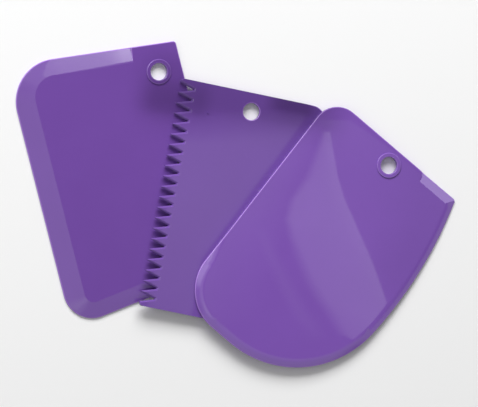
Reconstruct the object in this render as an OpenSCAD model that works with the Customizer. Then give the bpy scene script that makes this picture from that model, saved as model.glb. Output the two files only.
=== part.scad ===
// A set of three loose icing smoothers: an edge scraper, a comb scraper and a bowl scraper.
// They lie fanned out in a pile, the edge scraper flat on the table, the others leaning on it.
// Millimetres, +Z up, origin on the table under the middle of the pile.

/* [Hang holes] */
// Diameter of the hang hole in each scraper
hole_d = 8; // [5:0.5:10]
// Outer diameter of the raised ring round a hang hole
ring_d = 12; // [11:0.5:15]
// Height of the raised ring above the plate
ring_h = 0.6; // [0.3:0.1:1.2]

/* [Edge scraper] */
// Thickness of the plate
edge_t = 2; // [1.4:0.1:3]
// Length of the long working edge between its sharp corners
edge_long = 127; // [115:1:150]
// Length of the handle edge
edge_short = 108.5; // [95:0.5:115]
// Depth from the long working edge to the handle edge
edge_depth = 82.2; // [70:0.2:110]
// Radius of the upper working corner
edge_upper_r = 20; // [13:1:28]
// Radius of the lower working corner
edge_lower_r = 14; // [13:1:28]
// Radius of the two handle corners
edge_handle_r = 1.5; // [1:0.5:6]
// Width of the taper along the long working edge
edge_long_taper = 9.5; // [6:0.5:11]
// Width of the taper along the two sides
edge_side_taper = 7.5; // [5:0.5:11]
// Thickness left at the long working edge
edge_lip = 0.7; // [0.5:0.1:1.1]
// Depth of the full-thickness strip along the handle edge
edge_grip = 22.5; // [18:0.5:35]
// Distance of the hang hole from the handle edge
edge_hole_in = 11.5; // [9:0.5:16]
// Distance of the hang hole from the upper handle corner
edge_hole_along = 12; // [10:0.5:50]

/* [Comb scraper] */
// Thickness of the plate
comb_t = 1.8; // [1.4:0.1:3]
// Length of the toothed side
comb_l = 108.5; // [108.5:0.5:130]
// Width from the tooth tips to the plain side
comb_w = 73; // [60:1:90]
// Radius of the two corners on the plain side
comb_plain_r = 7; // [2:0.5:12]
// Radius of the two corners on the toothed side
comb_tooth_r = 1.6; // [0.5:0.1:1.7]
// Number of notches along the toothed side
notch_count = 21; // [10:1:21]
// Distance from one tooth to the next
tooth_pitch = 5; // [3.5:0.1:5]
// Depth of a notch
tooth_depth = 6.8; // [4:0.1:9]
// Width of the blunt tip of a tooth
tip_flat = 0.5; // [0.2:0.1:1]
// Width of the flat bottom of a notch
root_flat = 0.4; // [0.2:0.1:1]
// Width of the chamfer along the flanks of the teeth
flank_chamfer_w = 0.8; // [0.3:0.1:1]
// Depth of the chamfer along the flanks of the teeth
flank_chamfer_d = 0.5; // [0.2:0.1:1]
// Distance of the hang hole from the upper short side
comb_hole_in = 8.8; // [7:0.2:20]

/* [Bowl scraper] */
// Thickness of the plate
bowl_t = 2; // [1.4:0.1:3]
// Length from the handle edge to the far working edge
bowl_l = 122; // [105:0.5:140]
// Width at the widest place
bowl_w = 86.3; // [75:0.1:100]
// Distance of the widest place from the handle edge
bowl_widest = 58.2; // [45:0.1:65]
// Radius of the long curved side
bowl_side_r = 200; // [150:5:300]
// Radius of the large working corner that fits a bowl
bowl_round_r = 52; // [35:1:55]
// Radius of the small working corner
bowl_corner_r = 22; // [10:1:25]
// Radius of the handle corner on the straight side
bowl_straight_r = 12.5; // [3:0.5:15]
// Radius of the handle corner on the curved side
bowl_curved_r = 2; // [1:0.5:5]
// Width of the taper along the working edge
bowl_taper = 4.5; // [3:0.5:7]
// Thickness left at the working edge
bowl_lip = 0.8; // [0.5:0.1:1.1]
// Length of the handle edge that keeps its full thickness, from the straight side
bowl_grip = 55; // [50:1:65]
// Length of the straight side that keeps its full thickness, from the handle edge
bowl_straight = 82; // [60:1:84]
// Length over which the taper deepens to its full depth, along the straight side
bowl_run = 16; // [10:1:18]
// Length over which the taper deepens to its full depth, along the handle edge
bowl_grip_run = 3; // [2:0.5:14]
// Distance of the hang hole from the handle edge
bowl_hole_in = 8.3; // [8:0.1:20]
// Distance of the hang hole from the straight side
bowl_hole_along = 41.5; // [15:0.5:46]

/* [Pile] */
// Turn of the edge scraper on the table, in degrees
edge_turn = 14.7; // [0:0.1:25]
// Turn of the comb scraper from the edge scraper, in degrees
comb_turn = -25.9; // [-32:0.1:-15]
// How far the middle of the tooth tips reaches over the handle edge of the edge scraper
comb_over = 25.7; // [18:0.1:34]
// How far the middle of the comb scraper lies below the middle of the edge scraper
comb_below = 12.1; // [5:0.1:20]
// Turn of the bowl scraper from the comb scraper, in degrees
bowl_turn = -28; // [-35:0.1:-15]
// How far the straight handle corner lies past the plain side of the comb scraper
bowl_past = 1.2; // [-5:0.1:5]
// How far the handle edge of the bowl scraper starts above the middle of the comb scraper
bowl_above = 60.5; // [50:0.5:70]
// Clearance between a scraper and the one that it rests on
rest_gap = 0.1; // [0.05:0.05:0.3]

/* [Hidden] */
purple = [0.47, 0.31, 0.65];
$fn = 96;
// How far a cutter reaches past the surface that it opens
past = 2;
// How far a round cutter stands off the flat ones that it blends into, so that they cross cleanly
stand_off = 0.002;

// Outline helpers. An arc is [centre, radius, first angle, last angle], counter-clockwise.
function unit(a) = [cos(a), sin(a)];
function turned(p, a) = [p[0] * cos(a) - p[1] * sin(a), p[0] * sin(a) + p[1] * cos(a)];
function heading(p, q) = atan2(q[1] - p[1], q[0] - p[0]);
function middle(values) = (min(values) + max(values)) / 2;

// The arc that rounds corner q between p and r, for points that run counter-clockwise
function corner_arc(p, q, r, radius) =
    let (a = heading(p, q),
         turn = (heading(q, r) - a + 720) % 360,
         reach = radius / cos(turn / 2))
    [q - reach * unit(a - 90 + turn / 2), radius, a - 90, a - 90 + turn];

// The arcs that round every corner of a polygon
function corner_arcs(points, radii) =
    let (n = len(points))
    [for (i = [0 : n - 1]) corner_arc(points[(i + n - 1) % n], points[i], points[(i + 1) % n], radii[i])];

// Points along an outline, for finding where a scraper touches the table
arc_steps = 24;
function outline_points(arcs) =
    [for (arc = arcs, i = [0 : arc_steps]) arc[0] + arc[1] * unit(arc[2] + (arc[3] - arc[2]) * i / arc_steps)];

// The sharp corner outside an arc, as a kite from the arc's centre, without the arc's circle
module corner_waste(arc) {
    reach = arc[1] + past;
    half = (arc[3] - arc[2]) / 2;
    translate(arc[0]) difference() {
        polygon([[0, 0], reach * unit(arc[2]), reach / cos(half) * unit(arc[2] + half), reach * unit(arc[3])]);
        circle(arc[1] + stand_off);
    }
}

// Section of the waste above a taper, from the crease outwards: x is outwards and y is up
module taper_section(t, slope, reach, crease_r = 0) {
    polygon([[crease_r, t], [crease_r + reach, t - slope * reach],
             [crease_r + reach, t + past], [crease_r, t + past]]);
}

// Waste above a taper whose crease runs straight from p to q, with the plate on its left
module straight_taper(p, q, t, slope, reach, run_in = 0, run_out = 0) {
    translate(p) rotate(heading(p, q)) translate([-run_in, 0, 0]) mirror([0, 1, 0]) rotate([90, 0, 90])
        linear_extrude(run_in + norm(q - p) + run_out) taper_section(t, slope, reach);
}

// Waste above a taper whose crease is an arc: part of a cone
module round_taper(arc, t, slope, reach, off = stand_off) {
    translate(arc[0]) rotate(arc[2]) rotate_extrude(angle = arc[3] - arc[2])
        taper_section(t, slope, reach, arc[1] + off);
}

// The raised ring round a hang hole
module ring(at, t) {
    translate([at[0], at[1], t / 2]) cylinder(d = ring_d, h = t / 2 + ring_h);
}

// The waste of a hang hole
module hang_hole(at, t) {
    translate([at[0], at[1], -past]) cylinder(d = hole_d, h = t + ring_h + 2 * past);
}

// Edge scraper: x runs from the long working edge to the handle edge, y from its middle upwards
side_lean = atan2((edge_long - edge_short) / 2, edge_depth);
function edge_half(x) = edge_long / 2 - x * tan(side_lean);
edge_slope = (edge_t - edge_lip) / edge_long_taper;
edge_corners = [[0, edge_half(0)], [0, -edge_half(0)],
                [edge_depth, -edge_half(edge_depth)], [edge_depth, edge_half(edge_depth)]];
edge_arcs = corner_arcs(edge_corners, [edge_upper_r, edge_lower_r, edge_handle_r, edge_handle_r]);
edge_hole = [edge_depth - edge_hole_in, edge_short / 2 - edge_hole_along];

// Half the length between the two side creases, at x from the long working edge
function crease_half(x) = edge_half(x) - edge_side_taper / cos(side_lean);
step_x = edge_depth - edge_grip;
step_upper = [step_x, crease_half(step_x)];
step_lower = [step_x, -crease_half(step_x)];
crease_upper = [edge_long_taper, crease_half(edge_long_taper)];
crease_lower = [edge_long_taper, -crease_half(edge_long_taper)];

// The plate with its three tapers, which still meet in sharp mitres at the working corners
module edge_blank() {
    reach = edge_long_taper + past;
    difference() {
        union() {
            linear_extrude(edge_t) difference() {
                polygon(edge_corners);
                for (arc = edge_arcs) corner_waste(arc);
            }
            ring(edge_hole, edge_t);
        }
        straight_taper(step_upper, crease_upper, edge_t, edge_slope, reach, 0, reach);
        straight_taper(crease_upper, crease_lower, edge_t, edge_slope, reach, reach, reach);
        straight_taper(crease_lower, step_lower, edge_t, edge_slope, reach, reach, 0);
    }
}

module edge_plate() {
    reach = edge_long_taper + past;
    upper_r = edge_upper_r - edge_long_taper;
    lower_r = edge_lower_r - edge_long_taper;
    difference() {
        edge_blank();
        round_taper(corner_arc(step_upper, crease_upper, crease_lower, upper_r), edge_t, edge_slope, reach);
        round_taper(corner_arc(crease_upper, crease_lower, step_lower, lower_r), edge_t, edge_slope, reach);
        hang_hole(edge_hole, edge_t);
    }
}

// Comb scraper: x runs from the tooth tips to the plain side, y from its middle upwards
comb_corners = [[0, comb_l / 2], [0, -comb_l / 2], [comb_w, -comb_l / 2], [comb_w, comb_l / 2]];
comb_arcs = corner_arcs(comb_corners, [comb_tooth_r, comb_tooth_r, comb_plain_r, comb_plain_r]);
comb_hole = [comb_w / 2, comb_l / 2 - comb_hole_in];

// The upper flank of a notch runs from the tip of a tooth to the flat bottom of the notch
tip_at = [0, (tooth_pitch - tip_flat) / 2];
root_at = [tooth_depth, root_flat / 2];
flank_dir = heading(tip_at, root_at);
mouth = tip_at - past * unit(flank_dir);
chamfer_steep = flank_chamfer_d / flank_chamfer_w;

// All that lies above a chamfer's slope: the plate's edge runs from p in the direction given,
// with the plate on its left and room for a whole notch on its right
module above_chamfer(p, direction, run_in, run_out) {
    room = tooth_pitch + tooth_depth;
    translate(p) rotate(direction) translate([-run_in, 0, 0]) rotate([90, 0, 90])
        linear_extrude(run_in + run_out)
            polygon([[flank_chamfer_w, comb_t], [flank_chamfer_w, comb_t + past], [-room, comb_t + past],
                     [-room, comb_t - chamfer_steep * (flank_chamfer_w + room)]]);
}

// One notch, opening towards -x, with its edges chamfered on the upper face
module notch() {
    translate([0, 0, -past]) linear_extrude(comb_t + 2 * past)
        polygon([mouth, [mouth[0], -mouth[1]], [root_at[0], -root_at[1]], root_at]);
    flank_l = norm(root_at - tip_at);
    intersection() {
        above_chamfer(tip_at, flank_dir, past, flank_l + past);
        mirror([0, 1, 0]) above_chamfer(tip_at, flank_dir, past, flank_l + past);
        above_chamfer(root_at, -90, tooth_pitch, tooth_pitch);
    }
}

module comb_plate() {
    difference() {
        linear_extrude(comb_t) difference() {
            polygon(comb_corners);
            for (arc = comb_arcs) corner_waste(arc);
        }
        for (i = [0 : notch_count - 1])
            translate([0, (i - (notch_count - 1) / 2) * tooth_pitch, 0]) notch();
        hang_hole(comb_hole, comb_t);
    }
}

// Bowl scraper: the straight side is x = 0 and the handle edge y = 0, with the body below it
side_centre = [bowl_w - bowl_side_r, -bowl_widest];

// The middle of a corner of radius r that touches the curved side, with its middle at height y
function side_corner(r, y) =
    [side_centre[0] + sqrt(pow(bowl_side_r - r, 2) - pow(y - side_centre[1], 2)), y];
round_centre = side_corner(bowl_round_r, bowl_round_r - bowl_l);
curved_centre = side_corner(bowl_curved_r, -bowl_curved_r);
side_from = heading(side_centre, round_centre);
side_to = heading(side_centre, curved_centre);
corner_centre = [bowl_corner_r, bowl_corner_r - bowl_l];
bowl_corners = [
    [[bowl_straight_r, -bowl_straight_r], bowl_straight_r, 90, 180],
    [corner_centre, bowl_corner_r, 180, 270],
    [round_centre, bowl_round_r, 270, 360 + side_from],
    [curved_centre, bowl_curved_r, side_to, 90]];
bowl_arcs = concat(bowl_corners, [[side_centre, bowl_side_r, side_from, side_to]]);
bowl_hole = [bowl_hole_along, -bowl_hole_in];
bowl_slope = (bowl_t - bowl_lip) / bowl_taper;
bowl_reach = bowl_taper + past;
corner_crease = [corner_centre, bowl_corner_r - bowl_taper, 180, 270];
round_crease = [round_centre, bowl_round_r - bowl_taper, 270, 360 + side_from];
// The curved side's taper runs on past the handle edge, whose own taper it meets in a mitre
side_over = 2;
side_crease = [side_centre, bowl_side_r - bowl_taper, side_from, side_to + side_over];

// All that lies above a slanted plane with its crease from p to q, which one end of a taper rises along
module run_out(p, q, run) {
    steep = bowl_slope * norm([bowl_taper, run]) / run;
    straight_taper(p, q, bowl_t, steep, bowl_l / 2, past, past);
}

// The plate with the tapers of its straight edges and its curved side, before the working corners
module bowl_blank() {
    mitre_at = [bowl_taper, bowl_taper - bowl_l];
    side_end = [0, -bowl_straight];
    grip_end = [bowl_grip, 0];
    side_run_lean = atan2(bowl_taper, bowl_run);
    grip_run_lean = atan2(bowl_taper, bowl_grip_run);
    length = bowl_l / 2;
    difference() {
        union() {
            linear_extrude(bowl_t) difference() {
                intersection() {
                    translate(side_centre) circle(bowl_side_r);
                    translate([0, -bowl_l]) square([bowl_w + past, bowl_l]);
                }
                for (arc = bowl_corners) corner_waste(arc);
            }
            ring(bowl_hole, bowl_t);
        }
        intersection() {
            straight_taper([bowl_taper, 0] + side_end, mitre_at, bowl_t, bowl_slope, bowl_reach, past, bowl_reach);
            run_out(side_end, side_end + length * unit(side_run_lean - 90), bowl_run);
        }
        straight_taper(mitre_at, [bowl_w, mitre_at[1]], bowl_t, bowl_slope, bowl_reach, bowl_reach);
        intersection() {
            straight_taper([bowl_w, -bowl_taper], grip_end - [0, bowl_taper], bowl_t, bowl_slope, bowl_reach,
                           past, past);
            run_out(grip_end + length * unit(-grip_run_lean), grip_end, bowl_grip_run);
        }
        round_taper(side_crease, bowl_t, bowl_slope, bowl_reach, 0);
    }
}

module bowl_plate() {
    difference() {
        bowl_blank();
        round_taper(corner_crease, bowl_t, bowl_slope, bowl_reach);
        round_taper(round_crease, bowl_t, bowl_slope, bowl_reach);
        hang_hole(bowl_hole, bowl_t);
    }
}

// The pile. The comb scraper leans on the handle edge of the edge scraper and on the table,
// and the bowl scraper leans on the plain side of the comb scraper and on the table.
comb_height = edge_t + rest_gap;
function comb_flat(p) = [-comb_over, -comb_below] + turned(p, comb_turn);
comb_tilt = min([for (p = outline_points(comb_arcs)) let (x = comb_flat(p)[0])
                 if (x > comb_height) asin(comb_height / x)]);

// A point of the comb scraper, in the edge scraper's frame
function comb_point(v) =
    let (flat = comb_flat([v[0], v[1]]))
    [edge_depth + flat[0] * cos(comb_tilt) + v[2] * sin(comb_tilt), flat[1],
     comb_height - flat[0] * sin(comb_tilt) + v[2] * cos(comb_tilt)];

// The bowl scraper leans past the comb scraper's slope until it touches the table, if it ever does
bowl_height = comb_t + rest_gap;
function bowl_flat(p) = [bowl_past, bowl_above] + turned(p, bowl_turn);

// How steeply the comb scraper falls across its plain side, and the share that tilting adds
side_fall = sin(comb_tilt) * cos(comb_turn);
side_steep = norm([side_fall, cos(comb_tilt)]);
function bowl_angle(flat) =
    asin(comb_point([comb_w, flat[1], bowl_height])[2] / flat[0] / side_steep) - asin(side_fall / side_steep);
bowl_tilt = max(0, min([for (p = outline_points(bowl_arcs)) let (flat = bowl_flat(p))
                        if (flat[0] > 2 * bowl_height) bowl_angle(flat)]));

// A point of the bowl scraper, in the edge scraper's frame
function bowl_point(v) =
    let (flat = bowl_flat([v[0], v[1]]))
    comb_point([comb_w + flat[0] * cos(bowl_tilt) + v[2] * sin(bowl_tilt), flat[1],
                bowl_height - flat[0] * sin(bowl_tilt) + v[2] * cos(bowl_tilt)]);

// The middle of the pile's extent on the table
pile_points = [for (v = concat(
    [for (p = outline_points(edge_arcs)) p],
    [for (p = outline_points(comb_arcs)) comb_point([p[0], p[1], 0])],
    [for (p = outline_points(bowl_arcs), z = [0, bowl_lip]) bowl_point([p[0], p[1], z])]))
    turned([v[0], v[1]], edge_turn)];
pile_middle = [middle([for (p = pile_points) p[0]]), middle([for (p = pile_points) p[1]])];

module on_table() {
    translate([-pile_middle[0], -pile_middle[1], 0]) rotate(edge_turn) children();
}

module on_edge_scraper() {
    on_table() translate([edge_depth, 0, comb_height]) rotate([0, comb_tilt, 0])
        translate([-comb_over, -comb_below, 0]) rotate(comb_turn) children();
}

module on_comb_scraper() {
    on_edge_scraper() translate([comb_w, 0, bowl_height]) rotate([0, bowl_tilt, 0])
        translate([bowl_past, bowl_above, 0]) rotate(bowl_turn) children();
}

module edge_scraper() { color(purple) on_table() edge_plate(); }
module comb_scraper() { color(purple) on_edge_scraper() comb_plate(); }
module bowl_scraper() { color(purple) on_comb_scraper() bowl_plate(); }

edge_scraper();
comb_scraper();
bowl_scraper();
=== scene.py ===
"""Looks for a set of three loose icing smoothers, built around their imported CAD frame."""

import math

import bmesh
import bpy
from bpy.props import FloatProperty, FloatVectorProperty, PointerProperty
from mathutils import Matrix, Vector


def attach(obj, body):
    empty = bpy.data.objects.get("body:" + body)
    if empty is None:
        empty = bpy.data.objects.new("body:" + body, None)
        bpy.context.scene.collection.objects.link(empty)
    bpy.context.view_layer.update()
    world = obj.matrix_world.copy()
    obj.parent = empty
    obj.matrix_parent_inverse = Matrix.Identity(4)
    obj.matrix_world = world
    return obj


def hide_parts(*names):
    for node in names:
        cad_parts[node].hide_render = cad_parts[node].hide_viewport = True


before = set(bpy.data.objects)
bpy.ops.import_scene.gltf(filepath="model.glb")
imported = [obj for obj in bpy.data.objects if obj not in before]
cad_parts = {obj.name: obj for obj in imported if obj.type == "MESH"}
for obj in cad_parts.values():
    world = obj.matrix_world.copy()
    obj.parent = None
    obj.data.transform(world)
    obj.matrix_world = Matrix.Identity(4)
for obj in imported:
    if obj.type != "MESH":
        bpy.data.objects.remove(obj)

bl_info = {
    "name": "Icing Smoothers",
    "version": (1, 0, 0),
    "blender": (4, 5, 0),
    "location": "3D View > Sidebar > Smoothers",
    "description": "Dresses three plastic icing smoothers and lights them for a product picture",
    "category": "Object",
}

MM = 0.001

# The scrapers' sizes that the looks need, as the solids have them
EDGE_T = 2 * MM
EDGE_LONG = 127 * MM
EDGE_SHORT = 108.5 * MM
EDGE_DEPTH = 82.2 * MM
EDGE_LONG_TAPER = 9.5 * MM
EDGE_LIP = 0.7 * MM
EDGE_GRIP = 22.5 * MM
COMB_T = 1.8 * MM
COMB_W = 73 * MM
BOWL_T = 2 * MM
BOWL_TAPER = 4.5 * MM
BOWL_GRIP = 55 * MM

# How the scrapers lie in the pile, as in the solids: places, turns about Z and tilts about the side
# that each leans over, in degrees
EDGE_X, EDGE_Y = -95.475 * MM, 3.4444 * MM
EDGE_TURN = 14.7
REST_GAP = 0.1 * MM
COMB_OVER = 25.7 * MM
COMB_BELOW = 12.1 * MM
COMB_TURN = -25.9
COMB_TILT = 1.9629
BOWL_PAST = 1.2 * MM
BOWL_ABOVE = 60.5 * MM
BOWL_TURN = -28
BOWL_TILT = 0.11386


def mm(x, y, z=0):
    """A point given in millimetres."""
    return Vector((x, y, z)) * MM


def move(x, y, z=0):
    return Matrix.Translation((x, y, z))


def turn(degrees, axis):
    return Matrix.Rotation(math.radians(degrees), 4, axis)


# Where each scraper lies. In its own frame its plate goes from z = 0 upwards.
EDGE_PLACE = move(EDGE_X, EDGE_Y) @ turn(EDGE_TURN, "Z")
OVER_EDGE = EDGE_PLACE @ move(EDGE_DEPTH, 0, EDGE_T + REST_GAP) @ turn(COMB_TILT, "Y")
COMB_PLACE = OVER_EDGE @ move(-COMB_OVER, -COMB_BELOW) @ turn(COMB_TURN, "Z")
OVER_COMB = COMB_PLACE @ move(COMB_W, 0, COMB_T + REST_GAP) @ turn(BOWL_TILT, "Y")
BOWL_PLACE = OVER_COMB @ move(BOWL_PAST, BOWL_ABOVE) @ turn(BOWL_TURN, "Z")


class PlasticSettings(bpy.types.PropertyGroup):
    """Colours and edge sizes of the moulded plastic"""

    edge_colour: FloatVectorProperty(
        name="Edge scraper", description="Colour of the edge scraper's plastic",
        subtype="COLOR", size=3, min=0, max=1, default=(0.167, 0.071, 0.355),
    )
    comb_colour: FloatVectorProperty(
        name="Comb scraper", description="Colour of the comb scraper's plastic",
        subtype="COLOR", size=3, min=0, max=1, default=(0.167, 0.0755, 0.358),
    )
    bowl_colour: FloatVectorProperty(
        name="Bowl scraper", description="Colour of the bowl scraper's plastic",
        subtype="COLOR", size=3, min=0, max=1, default=(0.208, 0.092, 0.438),
    )
    # The rims' colour is painted light: a lighter lilac on the rounded edges that stands in for light
    # glinting off and through them.
    rim_highlight_colour: FloatVectorProperty(
        name="Rims", description="Colour of the rounded rims, which are thin and let light through",
        subtype="COLOR", size=3, min=0, max=1, default=(0.36, 0.19, 0.62),
    )
    roughness: FloatProperty(
        name="Roughness", description="Roughness of the moulded surface", min=0, max=1, default=0.07,
    )
    edge_round: FloatProperty(
        name="Edge rounding", description="Radius along the edges of the plates",
        subtype="DISTANCE", unit="LENGTH", min=0.0001, max=0.0004, default=0.0004,
    )
    tooth_round: FloatProperty(
        name="Tooth rounding", description="Radius along the edges of the teeth",
        subtype="DISTANCE", unit="LENGTH", min=0.00002, max=0.0002, default=0.0001,
    )


class StageSettings(bpy.types.PropertyGroup):
    """Floor, light and camera"""

    floor_colour: FloatVectorProperty(
        name="Floor", description="Colour of the floor",
        subtype="COLOR", size=3, min=0, max=1, default=(0.9, 0.9, 0.9),
    )
    sky: FloatProperty(
        name="Even light", description="Radiance of the light all round", min=0, max=2, default=0.3,
    )
    key: FloatProperty(
        name="Key light", description="Radiance of the soft box behind", min=0, max=50, default=9.4,
    )
    fill: FloatProperty(
        name="Fill light", description="Radiance of the soft box at the left", min=0, max=50, default=0.9,
    )
    tilt: FloatProperty(
        name="Camera tilt", description="Angle of the camera from straight above",
        subtype="ANGLE", unit="ROTATION", min=0, max=math.radians(60), default=math.radians(15),
    )
    distance: FloatProperty(
        name="Camera distance", description="Distance of the camera",
        subtype="DISTANCE", unit="LENGTH", min=0.5, max=10, default=8.0,
    )


# Meshes

# When the solids' triangles are merged: how near two points are that become one, and how many
# degrees an edge turns that is dissolved
MERGE_DISTANCE = 0.002 * MM
FLAT_TURN = 0.15

# From how many degrees of turn the edges of plates and of teeth are rounded, and the tapers' creases
# look crisp
CORNER_TURN = 50
TOOTH_TURN = 25
CREASE_TURN = 4

# A face that is smaller than this is a sliver left between two others, and one whose normal rises
# more than this looks up
SLIVER_AREA = 0.005 * MM * MM
UPWARD = 0.5

# Rounded faces above this height of a scraper's own frame are on the ring round its hole, which is
# thicker than the plates' rims, and takes this share of their painted highlight
RING_BASE = 2.05 * MM
RING_HIGHLIGHT_SHARE = 0.35

# How many faces lie across a rounded edge of a plate and of a tooth
EDGE_SEGMENTS = 2
TOOTH_SEGMENTS = 1

# How near an edge of the edge scraper is to the step at its handle to belong to it
STEP_MARGIN = 0.01 * MM

# All the notches of the comb scraper end before this x of its own frame
TEETH_END = 7.7 * MM

# The stub that the comb scraper's gate left on its upper face: its middle, radii, length and sides
GATE_MARK = mm(15.7, 40.7, 1.8)
GATE_R = 0.5 * MM
GATE_TIP_R = 0.4 * MM
GATE_L = 0.7 * MM
GATE_SIDES = 16

# The bowl scraper's edges that are shorter than this stay sharp, and its creases look crisp within
# this margin of the taper on its handle edge
SHORT_EDGE = 0.3 * MM
TAPER_MARGIN = 1 * MM


def own_mesh(node, place):
    """The node's surface as one closed mesh in the scraper's own frame, with flat faces made whole."""
    bm = bmesh.new()
    bm.from_mesh(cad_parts[node].data)
    bmesh.ops.remove_doubles(bm, verts=bm.verts, dist=MERGE_DISTANCE)
    bmesh.ops.dissolve_limit(bm, angle_limit=math.radians(FLAT_TURN), verts=bm.verts, edges=bm.edges)
    bmesh.ops.transform(bm, matrix=place.inverted(), verts=bm.verts)
    return bm


def sharp_corner(edge, degrees=CORNER_TURN):
    """Whether an edge is an outward corner, and not the rim of a sliver."""
    if not edge.is_manifold or min(face.calc_area() for face in edge.link_faces) < SLIVER_AREA:
        return False
    return edge.calc_face_angle_signed(0) > math.radians(degrees)


def round_edges(bm, radius, segments, chosen):
    """Rounds the chosen edges, and tags the faces that this makes."""
    edges = [edge for edge in bm.edges if chosen(edge)]
    made = bmesh.ops.bevel(
        bm, geom=edges, offset=radius, offset_type="OFFSET", segments=segments, profile=0.5,
        affect="EDGES", material=-1, clamp_overlap=False, loop_slide=False,
    )
    for face in made["faces"]:
        face.tag = True


def paint_rim_highlights(bm):
    """Stores each face's painted highlight, for its colour: 1 on the plates' rounded rims and a share on
    the ring round the hole, standing in for light glinting off and through the thin plastic there.
    """
    rim = bm.loops.layers.float_color.new("rim")
    for face in bm.faces:
        highlight_share = 0
        if face.tag:
            highlight_share = RING_HIGHLIGHT_SHARE if face.calc_center_median().z > RING_BASE else 1
        for loop in face.loops:
            loop[rim] = (highlight_share, highlight_share, highlight_share, 1)


def shade(bm, crisp):
    """Smooth faces, with sharp edges at the corners and along the tapers' creases that look crisp."""
    for face in bm.faces:
        face.smooth = True
    for edge in bm.edges:
        turned = math.degrees(edge.calc_face_angle(0))
        moulded = not any(face.tag for face in edge.link_faces)
        upper = all(face.normal.z > UPWARD for face in edge.link_faces)
        edge.smooth = turned < (CREASE_TURN if moulded and upper and crisp(edge) else CORNER_TURN)


def make_object(name, bm, material):
    """Turns a mesh under construction into an object of the scene."""
    mesh = bpy.data.meshes.new(name)
    bm.to_mesh(mesh)
    bm.free()
    mesh.materials.append(material)
    made = bpy.data.objects.new(name, mesh)
    bpy.context.scene.collection.objects.link(made)
    return made


def finish_piece(bm, node, place, colour, look, crisp=lambda edge: True):
    """Makes the plate that stands for a CAD node from a mesh in the scraper's own frame."""
    paint_rim_highlights(bm)
    bm.normal_update()
    shade(bm, crisp)
    bmesh.ops.transform(bm, matrix=place, verts=bm.verts)
    skin = plastic(f"{node.replace('_', ' ')} plastic", colour, look, place)
    piece = make_object(f"{node}_plate", bm, skin)
    weighted = piece.modifiers.new("Flat faces stay flat", "WEIGHTED_NORMAL")
    weighted.keep_sharp = True

    # Each body has the name of its one node
    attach(piece, node)
    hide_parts(node)


# Materials

# How uneven the plastic is: the pattern's scale to the metre, detail and roughness, and the shares
# by which colour and roughness change
CLOUDS = {"Scale": 22, "Detail": 6, "Roughness": 0.6}
TINT_SPREAD = 0.08
ROUGHNESS_SPREAD = 0.15

# The scuffs: their scale to the metre along, across and through them, turn in radians, detail, the
# noise at which they start and are full, and how much rougher and deeper they are
SCUFF_SCALE = (35, 1400, 35)
SCUFF_TURN = 0.3
SCUFF_DETAIL = 3
SCUFF_START = 0.6
SCUFF_FULL = 0.75
SCUFF_ROUGHNESS = 0.12
SCUFF_DEPTH = 0.003 * MM

# The surface's waves and grain: scale to the metre, detail and height
WAVES = (45, 1, 0.04 * MM)
GRAIN = (1800, 2, 0.0006 * MM)

PLASTIC_IOR = 1.5
FLOOR_ROUGHNESS = 0.8


def connect(tree, node, inputs):
    """Sets a node's inputs. Each is a value, or another node's output to link."""
    for socket, value in inputs.items():
        if isinstance(value, bpy.types.NodeSocket):
            tree.links.new(value, node.inputs[socket])
        else:
            node.inputs[socket].default_value = value


def add_node(tree, kind, inputs=None, **settings):
    """Adds a node of a kind, with the given inputs and settings."""
    node = tree.nodes.new(kind)
    for name, value in settings.items():
        setattr(node, name, value)
    connect(tree, node, inputs or {})
    return node


def new_material(name):
    material = bpy.data.materials.new(name)
    material.use_nodes = True
    return material


def colour_with_rim_highlights(tree, cloud, colour, look):
    """The colour, a little uneven, with a painted highlight on the rounded rims, where light glints off
    and through the thin plastic.
    """
    tint = add_node(tree, "ShaderNodeMix", {
        "Factor": cloud,
        "A": (*[part * (1 - TINT_SPREAD) for part in colour], 1),
        "B": (*[part * (1 + TINT_SPREAD) for part in colour], 1),
    }, data_type="RGBA")
    rim = add_node(tree, "ShaderNodeVertexColor", layer_name="rim")
    # Painted highlight: the rounded rims take the lighter rim colour.
    thin = add_node(tree, "ShaderNodeMix", {
        "Factor": rim.outputs["Color"],
        "A": tint.outputs["Result"],
        "B": (*look.rim_highlight_colour, 1),
    }, data_type="RGBA")
    return thin.outputs["Result"]


def scuffs(tree, where, place):
    """Faint strokes that run mostly across the scraper, as use and wiping leave them: 1 in a stroke."""
    turned = add_node(tree, "ShaderNodeMapping", {
        "Vector": where,
        "Rotation": (0, 0, SCUFF_TURN - place.to_euler().z),
        "Scale": SCUFF_SCALE,
    })
    strokes = add_node(tree, "ShaderNodeTexNoise", {
        "Vector": turned.outputs["Vector"],
        "Scale": 1,
        "Detail": SCUFF_DETAIL,
    })
    clear = add_node(tree, "ShaderNodeMapRange", {
        "Value": strokes.outputs["Fac"],
        "From Min": SCUFF_START,
        "From Max": SCUFF_FULL,
    })
    return clear.outputs["Result"]


def worn_roughness(tree, cloud, scuff, look):
    """The roughness, a little uneven, and more in the scuffs."""
    smooth = add_node(tree, "ShaderNodeMapRange", {
        "Value": cloud,
        "To Min": look.roughness * (1 - ROUGHNESS_SPREAD),
        "To Max": look.roughness * (1 + ROUGHNESS_SPREAD),
    })
    worn = add_node(tree, "ShaderNodeMath", {
        0: scuff,
        1: SCUFF_ROUGHNESS,
        2: smooth.outputs["Result"],
    }, operation="MULTIPLY_ADD")
    return worn.outputs[0]


def bump(tree, height, distance, below=None, invert=False):
    """The surface's normal with a relief, which lies on top of another one if that is given."""
    inputs = {"Height": height, "Distance": distance}
    if below:
        inputs["Normal"] = below
    return add_node(tree, "ShaderNodeBump", inputs, invert=invert).outputs["Normal"]


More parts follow.
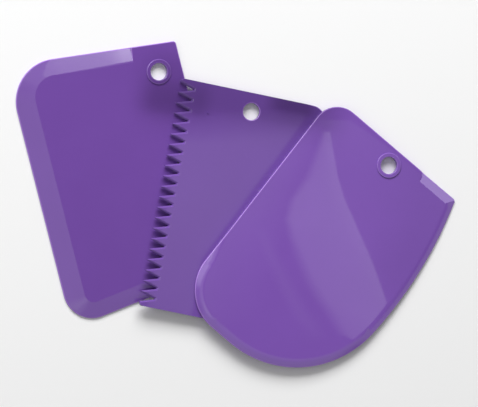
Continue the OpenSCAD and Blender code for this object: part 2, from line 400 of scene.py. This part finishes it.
def relief(tree, where, scuff):
    """A thin moulding is never quite flat, and it has a very fine grain. The scuffs are cut into it."""
    normal = None
    for scale, detail, height in (WAVES, GRAIN):
        swell = add_node(tree, "ShaderNodeTexNoise", {
            "Vector": where,
            "Scale": scale,
            "Detail": detail,
        })
        normal = bump(tree, swell.outputs["Fac"], height, normal)
    return bump(tree, scuff, SCUFF_DEPTH, normal, invert=True)


def plastic(name, colour, look, place):
    """Glossy coloured plastic, a little uneven, as a thin moulded sheet is."""
    material = new_material(name)
    tree = material.node_tree
    where = add_node(tree, "ShaderNodeTexCoord").outputs["Object"]
    cloud = add_node(tree, "ShaderNodeTexNoise", {"Vector": where, **CLOUDS}).outputs["Fac"]
    scuff = scuffs(tree, where, place)
    connect(tree, tree.nodes["Principled BSDF"], {
        "Base Color": colour_with_rim_highlights(tree, cloud, colour, look),
        "Roughness": worn_roughness(tree, cloud, scuff, look),
        "IOR": PLASTIC_IOR,
        "Normal": relief(tree, where, scuff),
    })
    return material


def floor_paint(colour):
    material = new_material("floor paint")
    tree = material.node_tree
    connect(tree, tree.nodes["Principled BSDF"], {
        "Base Color": (*colour, 1),
        "Roughness": FLOOR_ROUGHNESS,
    })
    return material


def glow(name, radiance):
    """A clear surface that glows as its mesh's "glow" attribute says, from 0 to 1."""
    material = new_material(name)
    tree = material.node_tree
    tree.nodes.clear()
    share = add_node(tree, "ShaderNodeVertexColor", layer_name="glow")
    strength = add_node(tree, "ShaderNodeMath", {
        0: share.outputs["Color"],
        1: radiance,
    }, operation="MULTIPLY")
    light = add_node(tree, "ShaderNodeEmission", {"Strength": strength.outputs[0]})
    clear = add_node(tree, "ShaderNodeBsdfTransparent")
    both = add_node(tree, "ShaderNodeAddShader", {0: light.outputs[0], 1: clear.outputs[0]})
    add_node(tree, "ShaderNodeOutputMaterial", {"Surface": both.outputs[0]})
    return material


def netting(name, opening):
    """A thin net that lets a share of the light through."""
    material = new_material(name)
    tree = material.node_tree
    tree.nodes.clear()
    clear = add_node(tree, "ShaderNodeBsdfTransparent", {"Color": (opening, opening, opening, 1)})
    add_node(tree, "ShaderNodeOutputMaterial", {"Surface": clear.outputs[0]})
    return material


# Stage

# The picture's size in pixels, what a pixel covers on the table, and the point in its middle
PICTURE = (478, 407)
PIXEL = 0.4695 * MM
CAMERA_TARGET = mm(1.65, 0.498)

# The camera's sensor in millimetres, and how far it sees in metres
SENSOR_MM = 36.0
CLIP_END = 50

# The soft boxes: angles in degrees, towards +X and +Y from the zenith, then distance, width and
# height in metres
KEY_LIGHT = (-12, 55, 1.6, 1.4, 0.8)
FILL_LIGHT = (-50, -5, 1.6, 0.8, 1.0)

# Half of the floor's side, in metres
FLOOR_REACH = 6

# Soft patches that only glossy surfaces see: angles towards +X and +Y from the zenith, the angles
# within which each is full and beyond which it ends, and its radiance. The first one is dark.
PATCHES = [
    (15, 0, 14, 34, -0.3),
    (-1, -5, 5, 13, 0.95),
    (5, 14, 4, 13, 1.2),
    (-11, 14, 3, 13, 2.3),
    (12, -28, 18, 28, 0.85),
    (46, -17, 6, 15, 0.75),
    (43, 25, 6, 13, 2.8),
    (-33, 42, 12, 26, 4.0),
]

# The outlines of the cards that are mirrored in the plates. Each row is a list of points, given across
# and down the picture in its pixels, with their glow from 0 to 1.
FIN = [
    [(322, 131, 0), (327, 132, 0.9), (330, 132, 1)],
    [(314, 150, 0), (322, 150, 0.8), (333, 150, 1)],
    [(303, 177, 0), (313, 177, 0.9), (338, 177, 1)],
    [(288, 200, 0), (297, 200, 0.9), (345, 200, 1)],
    [(283, 220, 0), (291, 220, 0.9), (354, 220, 1)],
    [(286, 238, 0), (296, 238, 0.8), (362, 238, 1)],
    [(293, 258, 0), (306, 258, 0.8), (372, 260, 1)],
    [(302, 280, 0), (316, 280, 0.8), (380, 282, 1)],
    [(311, 297, 0), (326, 297, 0.8), (387, 303, 1)],
    [(326, 318, 0), (340, 318, 0.7), (376, 322, 1)],
    [(337, 336, 0), (345, 336, 0.4), (353, 340, 0.7)],
]
HAZE = [
    [(316, 120, 0), (329, 120, 1), (350, 120, 1)],
    [(318, 150, 0), (333, 150, 0.8), (392, 150, 0.8)],
    [(322, 177, 0), (338, 177, 0.6), (425, 177, 0.6)],
    [(329, 200, 0), (345, 200, 0.6), (456, 200, 0.6)],
    [(346, 238, 0), (362, 238, 0.5), (442, 238, 0.5)],
    [(364, 282, 0), (380, 282, 0.4), (418, 282, 0.4)],
    [(376, 310, 0), (388, 310, 0.2), (402, 310, 0.2)],
]
STREAK = [
    [(254, 230, 0), (262, 229, 0.4), (270, 228, 0)],
    [(262, 258, 0), (271, 256, 1), (280, 254, 0)],
    [(276, 290, 0), (286, 287, 1), (296, 284, 0)],
    [(290, 318, 0), (301, 314, 1), (311, 310, 0)],
    [(308, 345, 0), (318, 340, 0.4), (328, 335, 0)],
]
BOWL_GLOW = [
    [(322, 112, 0.3), (328, 114, 0.2), (336, 116, 0)],
    [(298, 142, 0.8), (308, 150, 0.5), (318, 158, 0)],
    [(258, 192, 1), (276, 208, 0.5), (292, 220, 0)],
    [(226, 230, 0.8), (250, 250, 0.4), (276, 262, 0)],
    [(204, 262, 0.8), (232, 275, 0.35), (270, 284, 0)],
    [(198, 300, 0.7), (222, 304, 0.3), (262, 305, 0)],
    [(210, 330, 0.3), (228, 325, 0.1), (258, 322, 0)],
]
BAND = [
    [(30, 80, 0.15), (50, 90, 0.1)],
    [(46, 60, 0.25), (52, 80, 0.15)],
    [(60, 54, 0.35), (64, 76, 0.25)],
    [(90, 46, 0.4), (94, 72, 0.3)],
    [(108, 42, 0.6), (112, 69, 0.35)],
    [(120, 40, 1), (124, 67, 0.6)],
    [(134, 38, 1), (140, 65, 0.7)],
]
VEIL = [
    [(184, 118, 0), (240, 112, 0.1), (308, 110, 0)],
    [(181, 132, 0.3), (240, 128, 0.45), (302, 122, 0.4)],
    [(178, 145, 0.9), (235, 142, 0.9), (292, 137, 0.85)],
    [(168, 200, 1), (208, 200, 1), (247, 198, 0.9)],
    [(156, 260, 0.8), (180, 260, 0.8), (201, 260, 0.8)],
    [(143, 330, 0.5), (165, 330, 0.6), (190, 330, 0.7)],
]

# The upper faces that mirror the cards. The edge scraper's is the taper along its upper side, which
# leans as the plate's sides do and slopes as its other tapers do, through a point in its middle.
SIDE_LEAN = math.degrees(math.atan2((EDGE_LONG - EDGE_SHORT) / 2, EDGE_DEPTH))
TAPER_SLOPE = math.degrees(math.atan2(EDGE_T - EDGE_LIP, EDGE_LONG_TAPER))
TAPER_POINT = mm(38.7, 56, 1.4)
SIDE_TAPER = EDGE_PLACE @ move(*TAPER_POINT) @ turn(-SIDE_LEAN, "Z") @ turn(-TAPER_SLOPE, "X")
COMB_FACE = COMB_PLACE @ move(0, 0, COMB_T)
BOWL_FACE = BOWL_PLACE @ move(0, 0, BOWL_T)

# The cards: name, the plate and the face of it that mirrors the card, outline, height above the
# face and radiance
CARDS = [
    ("fin", "bowl_scraper_plate", BOWL_FACE, FIN, 35 * MM, 1.35),
    ("haze", "bowl_scraper_plate", BOWL_FACE, HAZE, 40 * MM, 0.45),
    ("streak", "bowl_scraper_plate", BOWL_FACE, STREAK, 45 * MM, 0.3),
    ("bowl glow", "bowl_scraper_plate", BOWL_FACE, BOWL_GLOW, 70 * MM, 0.6),
    ("veil", "comb_scraper_plate", COMB_FACE, VEIL, 55 * MM, 0.85),
    ("band", "edge_scraper_plate", SIDE_TAPER, BAND, 55 * MM, 6.5),
]

# The nets that dim the key light on the pieces: name, middle, width, depth and the share of the
# light that each lets through
NETS = [
    ("net", mm(1, 65, 14), 96 * MM, 26 * MM, 0.58),
    ("net right", mm(27, 57, 9), 22 * MM, 14 * MM, 0.26),
    ("net left", mm(-31, 57, 9), 32 * MM, 16 * MM, 0.62),
    ("net over the bowl scraper", mm(86, 27, 30), 44 * MM, 90 * MM, 0.85),
]
NET_TURN = -9


def toward(across, up):
    """The direction at the given angles in degrees, towards +X and +Y from the zenith."""
    return Vector((math.tan(math.radians(across)), math.tan(math.radians(up)), 1)).normalized()


def hide_from(piece, *rays):
    for ray in rays:
        setattr(piece, f"visible_{ray}", False)


def linked_group(name, objects):
    """A collection for light linking, which isn't itself in the scene."""
    group = bpy.data.collections.new(name)
    for each in objects:
        group.objects.link(each)
    return group


def studio_world(strength):
    """Even light all round, with the soft patches for the gloss."""
    world = bpy.data.worlds.new("studio")
    world.use_nodes = True
    tree = world.node_tree
    where = add_node(tree, "ShaderNodeTexCoord").outputs["Generated"]
    total = 0
    for across, up, full, end, radiance in PATCHES:
        along = add_node(tree, "ShaderNodeVectorMath", {
            0: where,
            1: toward(across, up),
        }, operation="DOT_PRODUCT")
        patch = add_node(tree, "ShaderNodeMapRange", {
            "Value": along.outputs["Value"],
            "From Min": math.cos(math.radians(end)),
            "From Max": math.cos(math.radians(full)),
            "To Max": radiance,
        }, interpolation_type="SMOOTHSTEP")
        total = add_node(tree, "ShaderNodeMath", {0: total, 1: patch.outputs["Result"]}).outputs[0]
    path = add_node(tree, "ShaderNodeLightPath")
    seen = add_node(tree, "ShaderNodeMath", {
        0: total,
        1: path.outputs["Is Glossy Ray"],
        2: strength,
    }, operation="MULTIPLY_ADD")
    connect(tree, tree.nodes["Background"], {"Color": (1, 1, 1, 1), "Strength": seen.outputs[0]})
    return world


def lay_floor(stage):
    bm = bmesh.new()
    bmesh.ops.create_grid(bm, x_segments=1, y_segments=1, size=FLOOR_REACH)
    floor = make_object("floor", bm, floor_paint(stage.floor_colour))
    return floor


def soft_box(name, across, up, distance, width, height, radiance):
    """A rectangular light that faces the table."""
    data = bpy.data.lights.new(name, "AREA")
    data.shape = "RECTANGLE"
    data.size, data.size_y = width, height
    data.energy = radiance * math.pi * width * height
    light = bpy.data.objects.new(name, data)
    away = toward(across, up)
    light.location = away * distance
    light.rotation_mode = "QUATERNION"
    light.rotation_quaternion = away.to_track_quat("Z", "Y")
    hide_from(light, "camera")
    bpy.context.scene.collection.objects.link(light)
    return light


def camera_axes(stage):
    """The camera's directions to its right, up and back."""
    back = Vector((-math.sin(stage.tilt), 0, math.cos(stage.tilt)))
    up = Vector((0, 1, 0))
    return up.cross(back), up, back


def mirrored_point(stage, face, x, y, height):
    """The point at a height over a face that the camera sees mirrored in it, at x, y in the picture."""
    right, up, back = camera_axes(stage)
    eye = CAMERA_TARGET + back * stage.distance
    aim = CAMERA_TARGET + (right * (x - PICTURE[0] / 2) + up * (PICTURE[1] / 2 - y)) * PIXEL
    seen = (aim - eye).normalized()
    normal = (face.to_3x3() @ Vector((0, 0, 1))).normalized()
    at = eye + seen * ((face.translation - eye).dot(normal) / seen.dot(normal))
    ray = seen - 2 * seen.dot(normal) * normal
    return at + ray * (height / ray.z)


def hang_card(stage, name, plate, face, outline, height, radiance):
    """A glowing card that nothing but the gloss of its own plate sees."""
    bm = bmesh.new()
    glowing = bm.verts.layers.float_color.new("glow")
    rows = []
    for points in outline:
        rows.append([])
        for x, y, shine in points:
            corner = bm.verts.new(mirrored_point(stage, face, x, y, height))
            corner[glowing] = (shine, shine, shine, 1)
            rows[-1].append(corner)
    for one, two in zip(rows, rows[1:]):
        for i in range(len(one) - 1):
            bm.faces.new((one[i], one[i + 1], two[i + 1], two[i]))
    card = make_object(name, bm, glow(name, radiance))
    hide_from(card, "camera", "diffuse", "transmission", "shadow")
    mirrors = linked_group(f"{name} mirrored in", [bpy.data.objects[plate]])
    card.light_linking.receiver_collection = mirrors


def hang_net(name, middle, width, depth, opening):
    """A net that shows only by the light that it takes."""
    bm = bmesh.new()
    bmesh.ops.create_grid(bm, x_segments=1, y_segments=1, size=1)
    bmesh.ops.scale(bm, vec=(width / 2, depth / 2, 1), verts=bm.verts)
    bmesh.ops.transform(bm, matrix=move(*middle) @ turn(NET_TURN, "Z"), verts=bm.verts)
    net = make_object(name, bm, netting(name, opening))
    hide_from(net, "camera", "diffuse", "glossy", "transmission")
    return net


def link_lights(key, floor_key, floor, nets):
    """Gives the pieces and the floor a key light each. The nets dim only the pieces' one."""
    scene = bpy.context.scene
    pieces = [each for each in scene.objects if each.type == "MESH" and each not in (floor, *nets)]
    for lamp in [each for each in scene.objects if each.type == "LIGHT"]:
        lit = {key: pieces, floor_key: [floor]}.get(lamp, [*pieces, floor])
        blocking = [*pieces, *nets] if lamp == key else pieces
        lamp.light_linking.receiver_collection = linked_group(f"{lamp.name} receivers", lit)
        lamp.light_linking.blocker_collection = linked_group(f"{lamp.name} blockers", blocking)


def aim_camera(stage):
    data = bpy.data.cameras.new("camera")
    data.sensor_width = SENSOR_MM
    data.lens = SENSOR_MM * stage.distance / (PICTURE[0] * PIXEL)
    data.clip_end = CLIP_END
    camera = bpy.data.objects.new("camera", data)
    right, up, back = camera_axes(stage)
    aimed = Matrix((right, up, back)).transposed().to_4x4()
    camera.matrix_world = move(*(CAMERA_TARGET + back * stage.distance)) @ aimed
    bpy.context.scene.collection.objects.link(camera)
    bpy.context.scene.camera = camera


# Operators


class SMOOTHERS_OT_edge_scraper(bpy.types.Operator):
    """Make the edge scraper, a plate with tapers on three sides"""

    bl_idname = "smoothers.edge_scraper"
    bl_label = "Edge Scraper"

    def execute(self, context):
        look = context.scene.smoother_plastic
        bm = own_mesh("edge_scraper", EDGE_PLACE)
        step_x = EDGE_DEPTH - EDGE_GRIP

        def corner_off_step(edge):
            off_step = any(abs(end.co.x - step_x) > STEP_MARGIN for end in edge.verts)
            return off_step and sharp_corner(edge)

        round_edges(bm, look.edge_round, EDGE_SEGMENTS, corner_off_step)
        finish_piece(bm, "edge_scraper", EDGE_PLACE, look.edge_colour, look)
        return {"FINISHED"}


class SMOOTHERS_OT_comb_scraper(bpy.types.Operator):
    """Make the comb scraper, a plate with a row of chamfered teeth"""

    bl_idname = "smoothers.comb_scraper"
    bl_label = "Comb Scraper"

    def execute(self, context):
        look = context.scene.smoother_plastic
        bm = own_mesh("comb_scraper", COMB_PLACE)

        def tooth_corner(edge):
            among_teeth = all(end.co.x < TEETH_END for end in edge.verts)
            return among_teeth and sharp_corner(edge, TOOTH_TURN)

        def plate_corner(edge):
            past_teeth = all(end.co.x > TEETH_END for end in edge.verts)
            return past_teeth and sharp_corner(edge)

        round_edges(bm, look.tooth_round, TOOTH_SEGMENTS, tooth_corner)
        round_edges(bm, look.edge_round, EDGE_SEGMENTS, plate_corner)
        bmesh.ops.create_cone(
            bm, cap_ends=True, segments=GATE_SIDES, radius1=GATE_R, radius2=GATE_TIP_R, depth=GATE_L,
            matrix=move(*GATE_MARK),
        )
        finish_piece(bm, "comb_scraper", COMB_PLACE, look.comb_colour, look)
        return {"FINISHED"}


class SMOOTHERS_OT_bowl_scraper(bpy.types.Operator):
    """Make the bowl scraper, a plate with a curved side and a large round corner"""

    bl_idname = "smoothers.bowl_scraper"
    bl_label = "Bowl Scraper"

    def execute(self, context):
        look = context.scene.smoother_plastic
        bm = own_mesh("bowl_scraper", BOWL_PLACE)
        least_x = BOWL_GRIP - TAPER_MARGIN
        least_y = -BOWL_TAPER - TAPER_MARGIN

        def on_handle_taper(edge):
            return all(end.co.x > least_x and end.co.y > least_y for end in edge.verts)

        def long_corner(edge):
            return sharp_corner(edge) and edge.calc_length() > SHORT_EDGE

        round_edges(bm, look.edge_round, EDGE_SEGMENTS, long_corner)
        finish_piece(bm, "bowl_scraper", BOWL_PLACE, look.bowl_colour, look, on_handle_taper)
        return {"FINISHED"}


class SMOOTHERS_OT_stage(bpy.types.Operator):
    """Lay the floor, hang the lights, cards and nets and set up the camera"""

    bl_idname = "smoothers.stage"
    bl_label = "Stage"

    def execute(self, context):
        stage, scene = context.scene.smoother_stage, context.scene
        scene.view_settings.view_transform = "Standard"
        scene.world = studio_world(stage.sky)
        floor = lay_floor(stage)
        key = soft_box("key", *KEY_LIGHT, stage.key)
        hide_from(key, "glossy")
        floor_key = soft_box("key for the floor", *KEY_LIGHT, stage.key)
        soft_box("fill left", *FILL_LIGHT, stage.fill)
        for card in CARDS:
            hang_card(stage, *card)
        nets = [hang_net(*net) for net in NETS]
        link_lights(key, floor_key, floor, nets)
        aim_camera(stage)
        return {"FINISHED"}


class SMOOTHERS_PT_panel(bpy.types.Panel):
    """Lists the pieces and the stage"""

    bl_idname = "SMOOTHERS_PT_panel"
    bl_label = "Icing Smoothers"
    bl_space_type = "VIEW_3D"
    bl_region_type = "UI"
    bl_category = "Smoothers"

    def draw(self, context):
        for settings in (context.scene.smoother_plastic, context.scene.smoother_stage):
            box = self.layout.box()
            for name in settings.__annotations__:
                box.prop(settings, name)
        for operator in OPERATORS:
            self.layout.operator(operator.bl_idname)


OPERATORS = (
    SMOOTHERS_OT_edge_scraper,
    SMOOTHERS_OT_comb_scraper,
    SMOOTHERS_OT_bowl_scraper,
    SMOOTHERS_OT_stage,
)
CLASSES = (PlasticSettings, StageSettings, *OPERATORS, SMOOTHERS_PT_panel)


def register():
    for each in CLASSES:
        bpy.utils.register_class(each)
    bpy.types.Scene.smoother_plastic = PointerProperty(type=PlasticSettings)
    bpy.types.Scene.smoother_stage = PointerProperty(type=StageSettings)


def unregister():
    del bpy.types.Scene.smoother_stage
    del bpy.types.Scene.smoother_plastic
    for each in reversed(CLASSES):
        bpy.utils.unregister_class(each)


def main():
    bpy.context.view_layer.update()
    register()
    bpy.ops.smoothers.edge_scraper()
    bpy.ops.smoothers.comb_scraper()
    bpy.ops.smoothers.bowl_scraper()
    bpy.ops.smoothers.stage()


if __name__ == "__main__":
    main()
